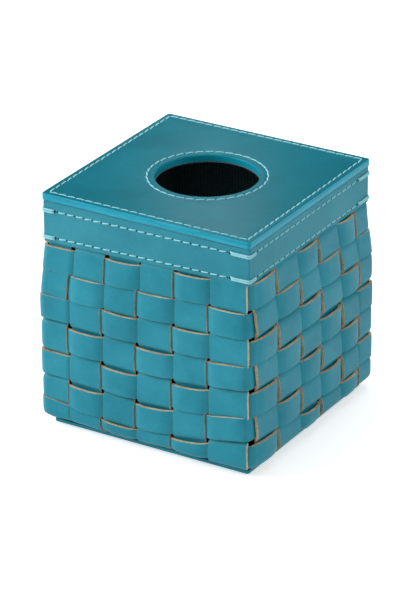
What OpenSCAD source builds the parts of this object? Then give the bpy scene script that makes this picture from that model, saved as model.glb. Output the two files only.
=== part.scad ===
// Woven leather cover for a cube carton of facial tissues, with a lift-off stitched lid.
// The origin is the centre of the footprint on the table. +Z is up and the front faces -Y.

/* [Box] */
// Outside width and depth of the wooden walls
case_w = 141.2; // [130:0.2:156]
// Height of the box from the table to the top of its rim
box_h = 154.8; // [135:0.2:180]
// Thickness of the wall boards
wall_t = 4; // [3.5:0.25:5]
// Thickness of the floor panel between the walls
floor_t = 4; // [3:0.5:6]
// Thickness of the frame that lies on top of the walls
rim_t = 1.8; // [1.2:0.1:3]
// Thickness of the cloth-faced lining panels
lining_t = 0.8; // [0.5:0.1:1.5]

/* [Base] */
// Thickness of the felt pad that the box stands on
pad_t = 0.8; // [0.5:0.1:2]
// How far the pad lies inside the edge of the base board
pad_inset = 3; // [1:0.5:8]
// Thickness of the base board
base_t = 2; // [1.5:0.1:4]
// How far the base board reaches past the outer face of the walls
base_reach = 1.2; // [0:0.1:2]
// Corner radius of the base board and its pad
base_corner_r = 2; // [1:0.25:4]

/* [Weave] */
// Number of whole upright straps on each face; one more bends round the left and the right corner
warp_count = 5; // [3:1:5]
// Number of level straps, one above the other
weft_count = 7; // [5:1:9]
// Thickness of the leather straps
strap_t = 2; // [1.4:0.1:2.2]
// Gap between neighbouring upright straps
warp_gap = 3.2; // [2.6:0.1:4.5]
// Gap between neighbouring level straps
weft_gap = 1.8; // [1.4:0.1:3]
// Distance from the upright straps beside the front and the back corner to the wall's end there
corner_gap = 0.2; // [0.1:0.1:2]
// Gap between the top level strap and the collar
collar_gap = 1.5; // [1:0.1:3]
// Distance from the walls' lower edge up to the lowest level strap
foot_gap = 1.4; // [1:0.1:3]
// How far a level strap arches outward where it crosses over an upright one
weft_crown = 1; // [0.4:0.1:2]
// How far an upright strap arches outward where it crosses over a level one
warp_crown = 0.4; // [0.2:0.1:1.5]
// How far a strap runs on level past the edge of the strap it crosses
rest_l = 0.2; // [0.1:0.05:0.4]
// Clearance between straps where one lies over the other
strap_clear = 0.1; // [0.05:0.05:0.3]
// How far the upright straps reach in under the walls
tuck_l = 8; // [5:0.5:12]
// How far inward the straps' bend under the walls reaches
foot_bend_r = 3.4; // [2:0.2:4]
// Height over which that bend runs
foot_bend_h = 8; // [4:0.5:12]

/* [Collar] */
// Height of the collar strips, which run up to the top of the box
collar_h = 24.3; // [16:0.1:30]
// Thickness of the collar leather
collar_t = 1.6; // [1.2:0.1:2.4]

/* [Lid] */
// How far the lid reaches past the collar on each side
lid_overhang = 0.7; // [0:0.1:2]
// Corner radius of the lid
lid_corner_r = 2; // [1:0.25:4]
// Thickness of the lid's leather
lid_leather_t = 1.5; // [1:0.1:2.5]
// Thickness of the lid's board
lid_board_t = 3.2; // [2:0.1:6]
// Thickness of the lid's lining
lid_lining_t = 0.5; // [0.3:0.1:1]
// How far the lid's lining lies inside the edge of the board
lid_lining_inset = 1.6; // [1:0.1:4]
// Diameter of the hole that the tissues are pulled through
hole_d = 66; // [50:1:80]
// Height of the frame under the lid that finds the rim
locator_h = 5; // [3:0.5:8]
// Width of each bar of that frame
locator_w = 8; // [5:0.5:12]
// Side clearance between that frame and the rim
locator_gap = 0.7; // [0.4:0.1:1.5]

/* [Stitching] */
// Thickness of the sewing thread
thread_d = 0.9; // [0.6:0.1:1.2]
// Distance from one stitch to the next
stitch_pitch = 6.4; // [4:0.1:9]
// Distance from the lid's edge in to its stitch line
edge_stitch_inset = 3.8; // [2.5:0.1:8]
// Distance from the hole's edge out to its stitch ring
hole_stitch_inset = 4.7; // [2.5:0.1:8]
// Distance from the collar's top down to the upper stitch line
upper_stitch_inset = 4.6; // [2:0.1:6]
// Distance from the collar's lower edge up to the lower stitch line
lower_stitch_inset = 3.2; // [2:0.1:5]
// Thickness of the thread in the corner stitches
corner_thread_t = 1; // [0.6:0.1:1.4]
// Height of each of the two threads in a corner stitch
corner_thread_h = 1.2; // [0.8:0.1:1.6]
// Gap between the two threads of a corner stitch
corner_thread_gap = 0.1; // [0.05:0.05:0.4]
// Length of a corner stitch on the face to the left of the corner
corner_leg_l = 13; // [8:0.5:18]
// Length of a corner stitch on the face to the right of the corner
corner_leg_r = 8; // [5:0.5:12]
// Gap between a corner stitch and the first stitch of a row
corner_stitch_gap = 2.6; // [1:0.1:5]

/* [Hidden] */
// Fineness of true circles, of the drawn arcs and of the thread
$fn = 96;
bend_steps = 6;
crown_steps = 6;
thread_sides = 12;
// Part of the stitch pitch that the thread covers, and how far each stitch leans off its line
stitch_share = 0.78;
stitch_lean = 6;
// Play between the straps' foot bend and the rounded edge of the walls
foot_ease = 0.2;

// Half widths, from the middle of the box outward
case_half = case_w / 2;
wall_in_half = case_half - wall_t;
cavity_half = wall_in_half - lining_t;
base_half = case_half + base_reach;
collar_in_half = case_half + strap_t + strap_clear;
collar_half = collar_in_half + collar_t;
lid_half = collar_half + lid_overhang;
locator_half = cavity_half - locator_gap;

// Heights above the table
base_z = pad_t;
tuck_z = base_z + base_t;
foot_z = tuck_z + strap_t;
lining_z = foot_z + floor_t;
head_z = box_h - rim_t;
collar_z = box_h - collar_h;
weave_top_z = collar_z - collar_gap;
weave_foot_z = foot_z + foot_gap;
board_z = box_h + lid_lining_t;
leather_z = board_z + lid_board_t;
lid_top_z = leather_z + lid_leather_t;

// Straps
lift = strap_t + strap_clear;
foot_r = min(foot_bend_r, wall_t - foot_ease);
wall_foot_r = foot_r + foot_ease;
wall_foot_h = foot_bend_h + foot_ease;
warp_reach = case_half - corner_gap;
warp_w = (case_half + warp_reach - warp_count * warp_gap) / (warp_count + 1 / 2);
warp_pitch = warp_w + warp_gap;
strap_reach = lift + strap_t + warp_crown;
corner_leg = case_half - warp_w / 2;
weft_h = (weave_top_z - weave_foot_z - (weft_count - 1) * weft_gap) / weft_count;
weft_pitch = weft_h + weft_gap;

SIDES = ["front", "right", "back", "left"];
LAST = len(SIDES) - 1;

// Colours, as the photo shows them
LEATHER_TEAL = [0.20, 0.58, 0.66];
LID_TEAL = [0.14, 0.45, 0.51];
EDGE_TEAL = [0.18, 0.65, 0.75];
THREAD_AQUA = [0.49, 0.82, 0.86];
BOARD_TAN = [0.72, 0.60, 0.44];
CLOTH_GREY = [0.34, 0.42, 0.44];
FELT_GREY = [0.22, 0.25, 0.26];

// Faces 0 to 3 are front, right, back and left. The front and the back start at a corner strap,
// and the other two end at one.
function starts_at_strap(face) = face % 2 == 0;

// Places along a face, left to right from the outside, and up the weave, row 1 at the top
function warp_left(face, col) =
    starts_at_strap(face)
        ? warp_reach - warp_w - (warp_count - col) * warp_pitch
        : -warp_reach + (col - 1) * warp_pitch;
function weft_top(row) = weave_top_z - (row - 1) * weft_pitch;
function weft_bottom(row) = weft_top(row) - weft_h;

// Upright straps count on round the box, so the plain weave runs on past each corner
function ring_col(face, col) = face * warp_count + col + (face > 1 ? 1 : 0);
function corner_ring(face) = face == 1 || face == 2 ? ring_col(1, warp_count + 1) : 0;
function weft_is_over(row, ring) = (row + ring) % 2 == 1;
function weft_level(row, ring) = weft_is_over(row, ring) ? lift : 0;
function warp_level(row, ring) = weft_is_over(row, ring) ? 0 : lift;

// One crossing of a strap, as [place, depth] points: flat when it goes under, arched when over
function crossing(from, to, level, skin, crown) =
    let (way = sign(to - from))
    let (steps = level > 0 ? crown_steps : 1)
    let (rise = level > 0 ? crown : 0)
    concat(
        [[from - way * rest_l, level + skin]],
        [for (i = [0 : steps])
            [from + (to - from) * i / steps, level + skin + rise * sin(180 * i / steps)]],
        [[to + way * rest_l, level + skin]]
    );

function reversed(points) = [for (i = [len(points) - 1 : -1 : 0]) points[i]];

// Turns a [place along the face, depth outside the walls] point onto one of the four faces
function on_face(point, face) =
    let (x = point[0], y = -case_half - point[1])
    let (c = cos(90 * face), s = sin(90 * face))
    [c * x - s * y, s * x + c * y];

// A quarter turn to the next face; with no radius it is one point
function quarter_turn(place, depth, r) =
    [for (i = [0 : r > 0 ? bend_steps : 0])
        [place + r * sin(90 * i / bend_steps), depth + r * cos(90 * i / bend_steps)]];

// The bend of a level strap between two faces' upright straps, from one level to the other
function gap_bend(row, face, skin) =
    let (level = weft_level(row, ring_col(face, warp_count)))
    let (next_level = weft_level(row, ring_col(face + 1, 1)))
    quarter_turn(case_half + next_level - corner_gap, level - corner_gap, corner_gap + skin);

// The bend of a level strap over or under an upright strap that bends round the same corner
function strap_bend(level, skin) =
    concat([[corner_leg - rest_l, level + skin]], quarter_turn(case_half + level, level, skin));

// A level strap along one face; the bends stand in for its places right at the corners
function weft_face(row, face, skin) =
    let (corner_level = weft_level(row, corner_ring(face)))
    concat(
        starts_at_strap(face) ? [[-corner_leg + rest_l, corner_level + skin]] : [],
        [for (col = [1 : warp_count],
                point = crossing(warp_left(face, col), warp_left(face, col) + warp_w,
                    weft_level(row, ring_col(face, col)), skin, weft_crown))
            if (abs(point[0]) < warp_reach - rest_l) point],
        starts_at_strap(face) ? gap_bend(row, face, skin) : strap_bend(corner_level, skin)
    );

function weft_outline(row, skin) =
    [for (face = [0 : LAST], point = weft_face(row, face, skin)) on_face(point, face)];

// The side view of an upright strap, as [depth, height] points from its head to its tucked foot
function warp_side(ring, skin) =
    let (level = warp_level(weft_count, ring))
    let (last_z = level > 0 ? weft_bottom(weft_count) - rest_l : foot_z + foot_bend_h)
    let (h = last_z - foot_z)
    let (r = level > 0 ? h : foot_r)
    concat(
        [[skin, head_z], [skin, collar_z - rest_l]],
        [for (row = [1 : weft_count], point = crossing(weft_top(row), weft_bottom(row),
                warp_level(row, ring), skin, warp_crown))
            if (point[0] > last_z) [point[1], point[0]]],
        [for (i = [0 : bend_steps])
            [level - r + (r + skin) * cos(90 * i / bend_steps),
                last_z - (h + skin) * sin(90 * i / bend_steps)]],
        [[-tuck_l, foot_z - skin]]
    );

// The wall's side view, with the rounded edge that the straps bend round
function wall_side() =
    concat(
        [[-wall_t, foot_z]],
        [for (i = [bend_steps : -1 : 0])
            [-wall_foot_r + wall_foot_r * cos(90 * i / bend_steps),
                foot_z + wall_foot_h - wall_foot_h * sin(90 * i / bend_steps)]],
        [[0, head_z], [-wall_t, head_z]]
    );

// Draws a [depth, height] side view along the front face, from its right end
module side_prism(right, length) {
    translate([right, -case_half, 0])
        rotate([90, 0, -90])
            linear_extrude(length)
                children();
}

// The quarter of the box that belongs to the front face, between the two mitre planes
module front_quarter() {
    reach = case_w;
    linear_extrude(box_h)
        polygon([[0, 0], [-reach, -reach], [reach, -reach]]);
}

// A strip round one side of the box with mitred ends
module mitred_strip(face, half, thickness, bottom, top) {
    inner = half - thickness;
    rotate([0, 0, 90 * face])
        translate([0, 0, bottom])
            linear_extrude(top - bottom)
                polygon([[-half, -half], [half, -half], [inner, -inner], [-inner, -inner]]);
}

module rounded_square(half, r) {
    square([2 * half, 2 * (half - r)], center = true);
    square([2 * (half - r), 2 * half], center = true);
    for (x = [-1, 1], y = [-1, 1])
        translate([x * (half - r), y * (half - r)])
            circle(r = r);
}

module plate(half, r, bottom, thickness) {
    translate([0, 0, bottom])
        linear_extrude(thickness)
            rounded_square(half, r);
}

// A lid layer with the tissue hole
module holed_plate(half, r, bottom, thickness) {
    translate([0, 0, bottom])
        linear_extrude(thickness)
            difference() {
                rounded_square(half, r);
                circle(d = hole_d);
            }
}

module centred_square(half) {
    square([2 * half, 2 * half], center = true);
}

// A flat frame with square inner corners, cut from the outline that is its child
module frame_plate(inner, bottom, thickness) {
    translate([0, 0, bottom])
        linear_extrude(thickness)
            difference() {
                children();
                centred_square(inner);
            }
}

// One stitch: a half-round thread lying on the XY plane along X
module stitch(length) {
    rotate([90, 0, 90 + stitch_lean])
        linear_extrude(length, center = true)
            intersection() {
                circle(d = thread_d, $fn = thread_sides);
                translate([-thread_d / 2, 0])
                    square([thread_d, thread_d]);
            }
}

// A straight row of stitches along X between two places, at an even pitch near stitch_pitch
module stitch_row(from, to) {
    count = round((to - from) / stitch_pitch);
    pitch = (to - from) / count;
    for (i = [0 : count - 1])
        translate([from + (i + 0.5) * pitch, 0, 0])
            stitch(pitch * stitch_share);
}

module base_pad() {
    color(FELT_GREY)
        plate(base_half - pad_inset, base_corner_r, 0, pad_t);
}

module base_board() {
    color(EDGE_TEAL)
        plate(base_half, base_corner_r, base_z, base_t);
}

module floor_panel() {
    color(BOARD_TAN)
        translate([-wall_in_half, -wall_in_half, foot_z])
            cube([2 * wall_in_half, 2 * wall_in_half, floor_t]);
}

module wall(face) {
    color(BOARD_TAN)
        rotate([0, 0, 90 * face])
            intersection() {
                side_prism(case_half, case_w)
                    polygon(wall_side());
                front_quarter();
            }
}

module lining_floor() {
    color(CLOTH_GREY)
        translate([-wall_in_half, -wall_in_half, lining_z])
            cube([2 * wall_in_half, 2 * wall_in_half, lining_t]);
}

module lining(face) {
    color(CLOTH_GREY)
        mitred_strip(face, wall_in_half, lining_t, lining_z + lining_t, head_z);
}

// The frame on top of the walls and the strap heads, inside the collar
module rim_frame() {
    color(EDGE_TEAL)
        frame_plate(cavity_half, head_z, rim_t)
            centred_square(collar_in_half);
}

// A level strap: a closed wavy band, as wide as one row of the weave
module weft_strap(row) {
    color(LEATHER_TEAL)
        translate([0, 0, weft_bottom(row)])
            linear_extrude(weft_h)
                difference() {
                    polygon(weft_outline(row, strap_t));
                    polygon(weft_outline(row, 0));
                }
}

// A stretch of upright strap on one face, cut off on the mitre planes
module warp_stretch(face, ring, right, length) {
    color(LEATHER_TEAL)
        rotate([0, 0, 90 * face])
            intersection() {
                side_prism(right, length)
                    polygon(concat(warp_side(ring, 0), reversed(warp_side(ring, strap_t))));
                front_quarter();
            }
}

module warp_strap(face, col) {
    warp_stretch(face, ring_col(face, col), warp_left(face, col) + warp_w, warp_w);
}

// An upright strap folded round the corner at the left end of a face, half of it on each side
module corner_strap(face) {
    ring = corner_ring(face);
    length = warp_w / 2 + strap_reach;
    warp_stretch(face, ring, -corner_leg, length);
    warp_stretch(face - 1, ring, case_half + strap_reach, length);
}

module collar(face) {
    color(LEATHER_TEAL)
        mitred_strip(face, collar_half, collar_t, collar_z, box_h);
}

// One row of running stitches on all four collar strips, clear of the corner stitches
module collar_stitch(height) {
    color(THREAD_AQUA)
        for (face = [0 : LAST])
            rotate([0, 0, 90 * face])
                translate([0, -collar_half, height])
                    rotate([90, 0, 0])
                        stitch_row(-collar_half + corner_leg_r + corner_stitch_gap,
                            collar_half - corner_leg_l - corner_stitch_gap);
}

// One thread of a corner stitch, bent round the corner to the right of the front face
module corner_thread() {
    translate([collar_half, -collar_half, 0])
        linear_extrude(corner_thread_h)
            polygon(concat(
                [[-corner_leg_l, 0], [0, 0], [0, corner_leg_r], [corner_thread_t, corner_leg_r]],
                [for (i = [0 : bend_steps])
                    [corner_thread_t * cos(90 * i / bend_steps),
                        -corner_thread_t * sin(90 * i / bend_steps)]],
                [[-corner_leg_l, -corner_thread_t]]
            ));
}

module collar_corner_stitches() {
    heights = [box_h - upper_stitch_inset, collar_z + lower_stitch_inset];
    color(THREAD_AQUA)
        for (face = [0 : LAST], height = heights, side = [-1, 1])
            rotate([0, 0, 90 * face])
                translate([0, 0, height + side * (corner_thread_h + corner_thread_gap) / 2
                        - corner_thread_h / 2])
                    corner_thread();
}

module lid_lining() {
    color(CLOTH_GREY)
        holed_plate(lid_half - lid_lining_inset, lid_corner_r, box_h, lid_lining_t);
}

module lid_board() {
    color(EDGE_TEAL)
        holed_plate(lid_half, lid_corner_r, board_z, lid_board_t);
}

module lid_leather() {
    color(LID_TEAL)
        holed_plate(lid_half, lid_corner_r, leather_z, lid_leather_t);
}

module lid_locating_frame() {
    color(BOARD_TAN)
        frame_plate(locator_half - locator_w, box_h - locator_h, locator_h)
            rounded_square(locator_half, lid_corner_r);
}

module lid_edge_stitch() {
    line = lid_half - edge_stitch_inset;
    color(THREAD_AQUA)
        for (face = [0 : LAST])
            rotate([0, 0, 90 * face])
                translate([0, -line, lid_top_z])
                    stitch_row(-line, line);
}

module lid_hole_stitch() {
    r = hole_d / 2 + hole_stitch_inset;
    length = 2 * PI * r;
    count = round(length / stitch_pitch);
    color(THREAD_AQUA)
        for (i = [0 : count - 1])
            rotate([0, 0, 360 * i / count])
                translate([0, -r, lid_top_z])
                    stitch(length / count * stitch_share);
}

base_pad();
base_board();
floor_panel();
for (face = [0 : LAST])
    wall(face);
lining_floor();
for (face = [0 : LAST])
    lining(face);
rim_frame();
for (row = [1 : weft_count])
    weft_strap(row);
for (face = [0 : LAST], col = [1 : warp_count])
    warp_strap(face, col);
corner_strap(0);  // warp_corner_left
corner_strap(2);  // warp_corner_right
for (face = [0 : LAST])
    collar(face);
collar_stitch(box_h - upper_stitch_inset);  // collar_stitch_upper
collar_stitch(collar_z + lower_stitch_inset);  // collar_stitch_lower
collar_corner_stitches();
lid_lining();
lid_board();
lid_leather();
lid_locating_frame();
lid_edge_stitch();
lid_hole_stitch();
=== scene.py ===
"""Visual model of the woven leather tissue box cover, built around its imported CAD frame."""

import bisect
import random
from math import ceil, copysign, cos, dist, exp, log, pi, radians, sin, sqrt

import bpy
from mathutils import Matrix, Vector, noise


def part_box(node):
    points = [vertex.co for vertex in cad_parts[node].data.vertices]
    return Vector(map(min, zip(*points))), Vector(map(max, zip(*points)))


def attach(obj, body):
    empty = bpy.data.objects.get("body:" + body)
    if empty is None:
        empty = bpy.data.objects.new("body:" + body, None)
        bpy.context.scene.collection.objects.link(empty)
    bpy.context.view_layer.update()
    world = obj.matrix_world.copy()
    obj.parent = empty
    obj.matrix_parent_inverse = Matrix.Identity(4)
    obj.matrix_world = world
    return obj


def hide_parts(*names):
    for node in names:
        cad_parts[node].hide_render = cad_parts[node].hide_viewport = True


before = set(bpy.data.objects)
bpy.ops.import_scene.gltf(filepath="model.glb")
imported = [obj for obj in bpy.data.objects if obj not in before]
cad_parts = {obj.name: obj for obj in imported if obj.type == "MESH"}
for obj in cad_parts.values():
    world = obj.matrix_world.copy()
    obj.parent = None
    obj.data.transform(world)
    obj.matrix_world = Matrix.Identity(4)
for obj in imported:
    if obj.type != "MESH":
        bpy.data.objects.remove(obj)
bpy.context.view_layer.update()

MM = 0.001
SIDES = ("front", "right", "back", "left")
COLUMNS = sum(name.startswith("warp_front_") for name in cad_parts)
ROWS = sum(name.startswith("weft_strap_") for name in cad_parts)

# Sizes read from the CAD nodes
wall_low, wall_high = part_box("wall_front")
CASE = -wall_low.y
FOOT_Z, HEAD_Z = wall_low.z, wall_high.z
collar_low, collar_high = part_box("collar_front")
COLLAR, COLLAR_Z, COLLAR_TOP = -collar_low.y, collar_low.z, collar_high.z
COLLAR_IN = -collar_high.y
leather_low, leather_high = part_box("lid_leather")
LID, LEATHER_Z, LID_TOP = leather_high.x, leather_low.z, leather_high.z
HOLE_R = min(v.co.xy.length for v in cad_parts["lid_leather"].data.vertices)
UPPER_ROW, LOWER_ROW = (
    sum(end.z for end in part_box(f"collar_stitch_{row}")) / 2 for row in ("upper", "lower")
)

# A strap's section: thickness, eased edges, the hollow in its cut side, and the cup of its face
STRAP_T = 2.15 * MM
EDGE_EASE = 0.14 * MM
BACK_EASE = 0.15 * MM
SIDE_HOLLOW = 0.05 * MM
SIDE_MIDDLE = 0.45
CUP = 0.12 * MM

# A strap's line: how far it lies off the walls at the edges of the strap that it crosses, the
# distance between its points, how far its bends are rounded, and its slow drift
LIFT = 2.2 * MM
STEP = 0.7 * MM
SOFTEN, SOFTEN_WARP = 0.8 * MM, 0.72 * MM
ARCH_STEPS = 24
STRAP_WANDER = 0.2 * MM
WANDER_LENGTH = 38 * MM
# Where an upright strap's arch is highest, from -1 at its lower end to 1
PEAK = -0.5

# The level straps' bends, and their spring off the corner, where no upright strap folds
CORNER_BEND = 2.4 * MM
CORNER_SPRING = 0.3 * MM
CORNER_STEPS = 6
# Straps that fold round a corner: their bend, the spring of a level strap over them, and the
# share of their width that bends
FOLD_R = 0.9 * MM
FOLD_SPRING = 0.6 * MM
FOLD_SHARE = 0.35

# Clearances of a crossing from the corner and from a bend, of a level strap from a folded one,
# and of an upright strap's edge from the corner, where it grows with the strap's depth
CROSSING_INSET = 0.3 * MM
BEND_CLEAR = 0.4 * MM
LEG_CLEAR = 0.2 * MM
WARP_INSET = 0.2 * MM
WARP_SPREAD = 0.8

# The straps' bend round the walls' foot, with how its height grows with the strap's depth, the
# clearance of the last crossing from its lower edge, and the length tucked under
FOOT_R = 1.6 * MM
FOOT_H = 5.5 * MM
FOOT_TOP = FOOT_Z + FOOT_H
FOOT_SPREAD = 0.36
FOOT_CLEAR = 0.2 * MM
FOOT_STEPS = 8
TUCK = 8 * MM
# How far above the collar's lower edge the upright straps lie flat on the walls
HEAD_STRAIGHT = 3 * MM

# The weave stands off the walls below its first row, and turns in again at its foot
BULGE = 2.7 * MM
BULGE_FULL_Z = 86 * MM
BULGE_FOOT_Z = 10 * MM

# Painted shade on the straps' cut edges in the weave's gaps: how far out from the walls it thins
# out, and its colour
GAP_SHADE_FROM, GAP_SHADE_TO = 1.2 * MM, 2.6 * MM
GAP_SHADE = (20, 14, 12)
# Over what height above the foot the painted shade ends, because the straps turn inward below it
GAP_SHADE_FOOT = 10 * MM

# On the front, right, back and left face: how high in mm the straps arch over each other, how
# far in mm the upright ones sway, and how far they lean per length that they run down
ARCH_WEFT = (3.7, 4.0, 3.4, 3.4)
ARCH_WARP = (2.6, 2.95, 2.7, 2.7)
ARCH_FOLD = 2.5
SWAY = (0.25, 0.9, 0.3, 0.3)
LEAN = (-0.025, 0.0, 0.0, 0.0)

# How far in mm the left and the right edge of each upright strap lie off even spacing, left to
# right on the same four faces
DRIFTS = (
    ((3.8, 2.2), (1.6, 0.6), (0.0, 0.1), (-0.5, -1.1), (-1.7, 2.2)),
    ((2.3, 2.9), (2.5, 4.6), (4.2, 3.2), (3.0, 2.7), (2.5, -1.6)),
    ((-0.4, -0.2), (0.3, 0.1), (-0.2, -0.3), (0.4, 0.3), (0.1, 0.0)),
    ((0.3, 0.2), (-0.3, -0.1), (0.4, 0.2), (0.0, 0.1), (-0.4, -0.3)),
)
# The same for the leg that each face has of a strap folded round a corner
LEG_DRIFTS = (-4.4, -2.4, 0.0, 0.0)
# How far in mm the rows hang off even heights, every quarter of a face, from the left corner
# along the front and the right face; the other two faces mirror them
ROW_DRIFTS = {
    1: (-4.2, -3.9, -2.5, -0.6, 1.0, 1.2, 1.2, 0.8, 0.2),
    2: (-2.8, -2.9, -1.7, -0.3, 0.8, 1.9, 1.6, 1.7, 0.6),
    3: (-1.4, -2.1, -2.4, -0.8, 0.6, -0.1, 1.1, 1.3, 1.3),
    4: (-4.0, -4.0, -4.0, -2.1, 1.8, -0.4, -0.9, -1.1, -1.0),
    5: (-4.8, -5.8, -6.1, -4.2, 1.0, -1.1, -1.8, -1.7, -0.6),
    6: (-7.0, -8.0, -8.1, -4.1, 2.4, -1.7, -2.6, -3.5, -2.3),
    7: (-2.2, -7.7, -8.6, -6.0, 0.6, -1.3, -5.3, -3.8, -2.4),
}
# The last row's lower edge: how far it is let down, and its lowest place; the gap between rows
FOOT_ROW_DROP = 1.5 * MM
FOOT_ROW_LOW = 1.2 * MM
ROW_CLEAR = 0.4 * MM

# The collar: its hang at the left corner, eased edges, bent ends, steps and slight waves
COLLAR_HANG = 3.4 * MM
COLLAR_EASE = 0.45 * MM
COLLAR_EASE_RISE = 0.12 * MM
COLLAR_BEND = 0.8 * MM
COLLAR_STEPS = 60
COLLAR_WAVE = 0.05 * MM
COLLAR_WAVE_LENGTH = 25 * MM

# Thread and stitches; each thread is twisted from plies, which are given as shares of its radius
THREAD_R = 0.45 * MM
PLY_OFFSET = 0.48
PLY_R = 0.56
STITCH_PITCH = 6.4 * MM
STITCH_SHARE = 0.78
LID_STITCH_SHARE = 0.93
STITCH_LEAN = radians(6)
NEEDLE_R = 0.5 * MM
HOLE_SQUASH = 0.8

# The thick double stitches over the collar's corners
CORNER_THREAD_R = 0.62 * MM
CORNER_THREAD_BEND = 0.9 * MM
CORNER_NEEDLE_R = 0.85 * MM
CORNER_LEG_L = 13 * MM
CORNER_LEG_R = 8 * MM
CORNER_STITCH_GAP = 2.6 * MM

# The groove under a stitch row, as (offset, depth) points across it, and how deep stitches sit
GROOVE = 0.22 * MM
GROOVE_HALF = 1.8 * MM
GROOVE_SHAPE = [
    (GROOVE_HALF * offset, GROOVE * share)
    for offset, share in ((-1, 0.0), (-0.5, 0.35), (0, 1.0), (0.5, 0.35), (1, 0.0))
]
STITCH_SINK = GROOVE * 0.8

# The lid's corners, and where its two stitch lines run
LID_CORNER_R = 2.0 * MM
LID_CORNER_MIN = 0.4 * MM
EDGE_INSET = 3.8 * MM
HOLE_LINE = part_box("lid_hole_stitch")[1].x - THREAD_R

# The floor, the world's light, and the lamps as (name, place, aim, size, watts)
FLOOR_HALF = 4.0
FLOOR_GAP = 0.2 * MM
FLOOR_COLOUR = (0.86, 0.86, 0.86, 1)
FLOOR_GLOW = 0.56
WORLD_LIGHT = 0.39
LAMPS = (
    ("left_softbox", (-1.5, -0.9, 1.0), (0, 0, 0.08), (1.2, 1.2), 29),
    ("right_softbox", (1.5, 0.5, 0.9), (0, 0, 0.08), (1.0, 1.0), 5),
    ("top_softbox", (-0.2, 0.3, 1.6), (0, 0, 0.1), (1.2, 1.2), 9),
    ("back_card", (-0.203, 0.338, 0.374), (0.032, -0.048, 0.16), (0.07, 0.05), 0.15),
)


def clamp(value, low=0, high=1):
    """The value, kept between low and high."""
    return min(max(value, low), high)


def srgb(red, green, blue):
    """A colour given as it looks on screen, 0 to 255, turned into linear light."""
    parts = []
    for value in (red, green, blue):
        value /= 255
        parts.append(value / 12.92 if value <= 0.04045 else ((value + 0.055) / 1.055) ** 2.4)
    return (*parts, 1.0)


class Shader:
    """The nodes of a material or a world; most helpers give back a new node's output."""

    def __init__(self, name, world=False):
        self.owner = (bpy.data.worlds if world else bpy.data.materials).new(name)
        self.owner.use_nodes = True
        self.nodes = self.owner.node_tree.nodes
        self.place = self.node("TexCoord").outputs["Object"]

    def feed(self, node, inputs):
        """Sets a node's inputs to values, or joins them to other nodes' outputs."""
        for name, value in inputs.items():
            if isinstance(value, bpy.types.NodeSocket):
                self.owner.node_tree.links.new(value, node.inputs[name])
            elif value is not None:
                node.inputs[name].default_value = value

    def node(self, kind, inputs=()):
        node = self.nodes.new("ShaderNode" + kind)
        self.feed(node, dict(inputs))
        return node

    def scaled(self, scale):
        return self.node("Mapping", {"Vector": self.place, "Scale": scale}).outputs["Vector"]

    def noise(self, scale, detail=3.0, rough=0.55, place=None, warp=0.0):
        return self.node("TexNoise", {
            "Vector": place or self.place, "Scale": scale, "Detail": detail, "Roughness": rough,
            "Distortion": warp,
        }).outputs["Fac"]

    def cells(self, scale):
        node = self.node("TexVoronoi", {"Vector": self.place, "Scale": scale})
        node.feature = "SMOOTH_F1"
        return node.outputs["Distance"]

    def bands(self, scale, direction):
        node = self.node("TexWave", {"Vector": self.place, "Scale": scale})
        node.bands_direction = direction
        return node.outputs["Fac"]

    def ramp(self, source, *stops):
        """A colour from (place, colour as seen on screen) stops."""
        node = self.node("ValToRGB", {"Fac": source})
        ramp = node.color_ramp
        while len(ramp.elements) < len(stops):
            ramp.elements.new(0.5)
        for element, (place, colour) in zip(ramp.elements, stops):
            element.position = place
            element.color = srgb(*colour)
        return node.outputs["Color"]

    def math(self, operation, first, second=0.0):
        node = self.node("Math", {0: first, 1: second})
        node.operation = operation
        return node.outputs["Value"]

    def mix(self, first, second, share):
        """The first value with this share and the second with the rest."""
        parts = self.math("MULTIPLY", first, share), self.math("MULTIPLY", second, 1 - share)
        return self.math("ADD", *parts)

    def spread(self, source, low, high, start=0.0, end=1.0, easing="LINEAR"):
        """A value that goes from low to high as the source goes from start to end."""
        node = self.node("MapRange", {
            "Value": source, "From Min": start, "From Max": end, "To Min": low, "To Max": high,
        })
        node.interpolation_type = easing
        return node.outputs["Result"]

    def bump(self, height, strength, distance, under=None):
        """A surface direction from heights, on top of another one."""
        return self.node("Bump", {
            "Height": height, "Strength": strength, "Distance": distance, "Normal": under,
        }).outputs["Normal"]

    def finish(self, colour, rough, normal, specular, more=()):
        """Feeds the surface and gives back the material."""
        self.feed(self.nodes["Principled BSDF"], {
            "Base Color": colour, "Roughness": rough, "Normal": normal,
            "Specular IOR Level": specular, **dict(more),
        })
        return self.owner


def leather(name, dark, middle, light, rough, specular, ior=1.5):
    """Smooth dyed leather: cloudy colour, fine pores and long faint creases."""
    s = Shader(name)
    mixed = s.mix(s.noise(26, 4, 0.6, warp=0.4), s.noise(420, 3, 0.6), 0.8)
    colour = s.ramp(mixed, (0.30, dark), (0.50, middle), (0.72, light))
    creases = s.noise(55, 5, 0.65, s.scaled((1.0, 1.0, 2.6)), 1.2)
    normal = s.bump(s.cells(1500), 0.35, 0.06 * MM, s.bump(creases, 0.25, 0.35 * MM))
    roughness = s.spread(s.noise(70, 3), rough - 0.05, rough + 0.07)
    return s.finish(colour, roughness, normal, specular, {"IOR": ior})


def painted_edge(name, dark, middle, light):
    """Glossy edge paint over sanded board and leather, with faint layers along the edge."""
    s = Shader(name)
    streaks = s.noise(60, 4, 0.6, s.scaled((0.6, 0.6, 9.0)), 0.3)
    colour = s.ramp(streaks, (0.28, dark), (0.52, middle), (0.76, light))
    normal = s.bump(s.noise(420, 3, 0.6, s.scaled((1.0, 1.0, 3.0))), 0.25, 0.1 * MM)
    return s.finish(colour, s.spread(s.noise(140, 2), 0.26, 0.42), normal, 0.25)


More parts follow.
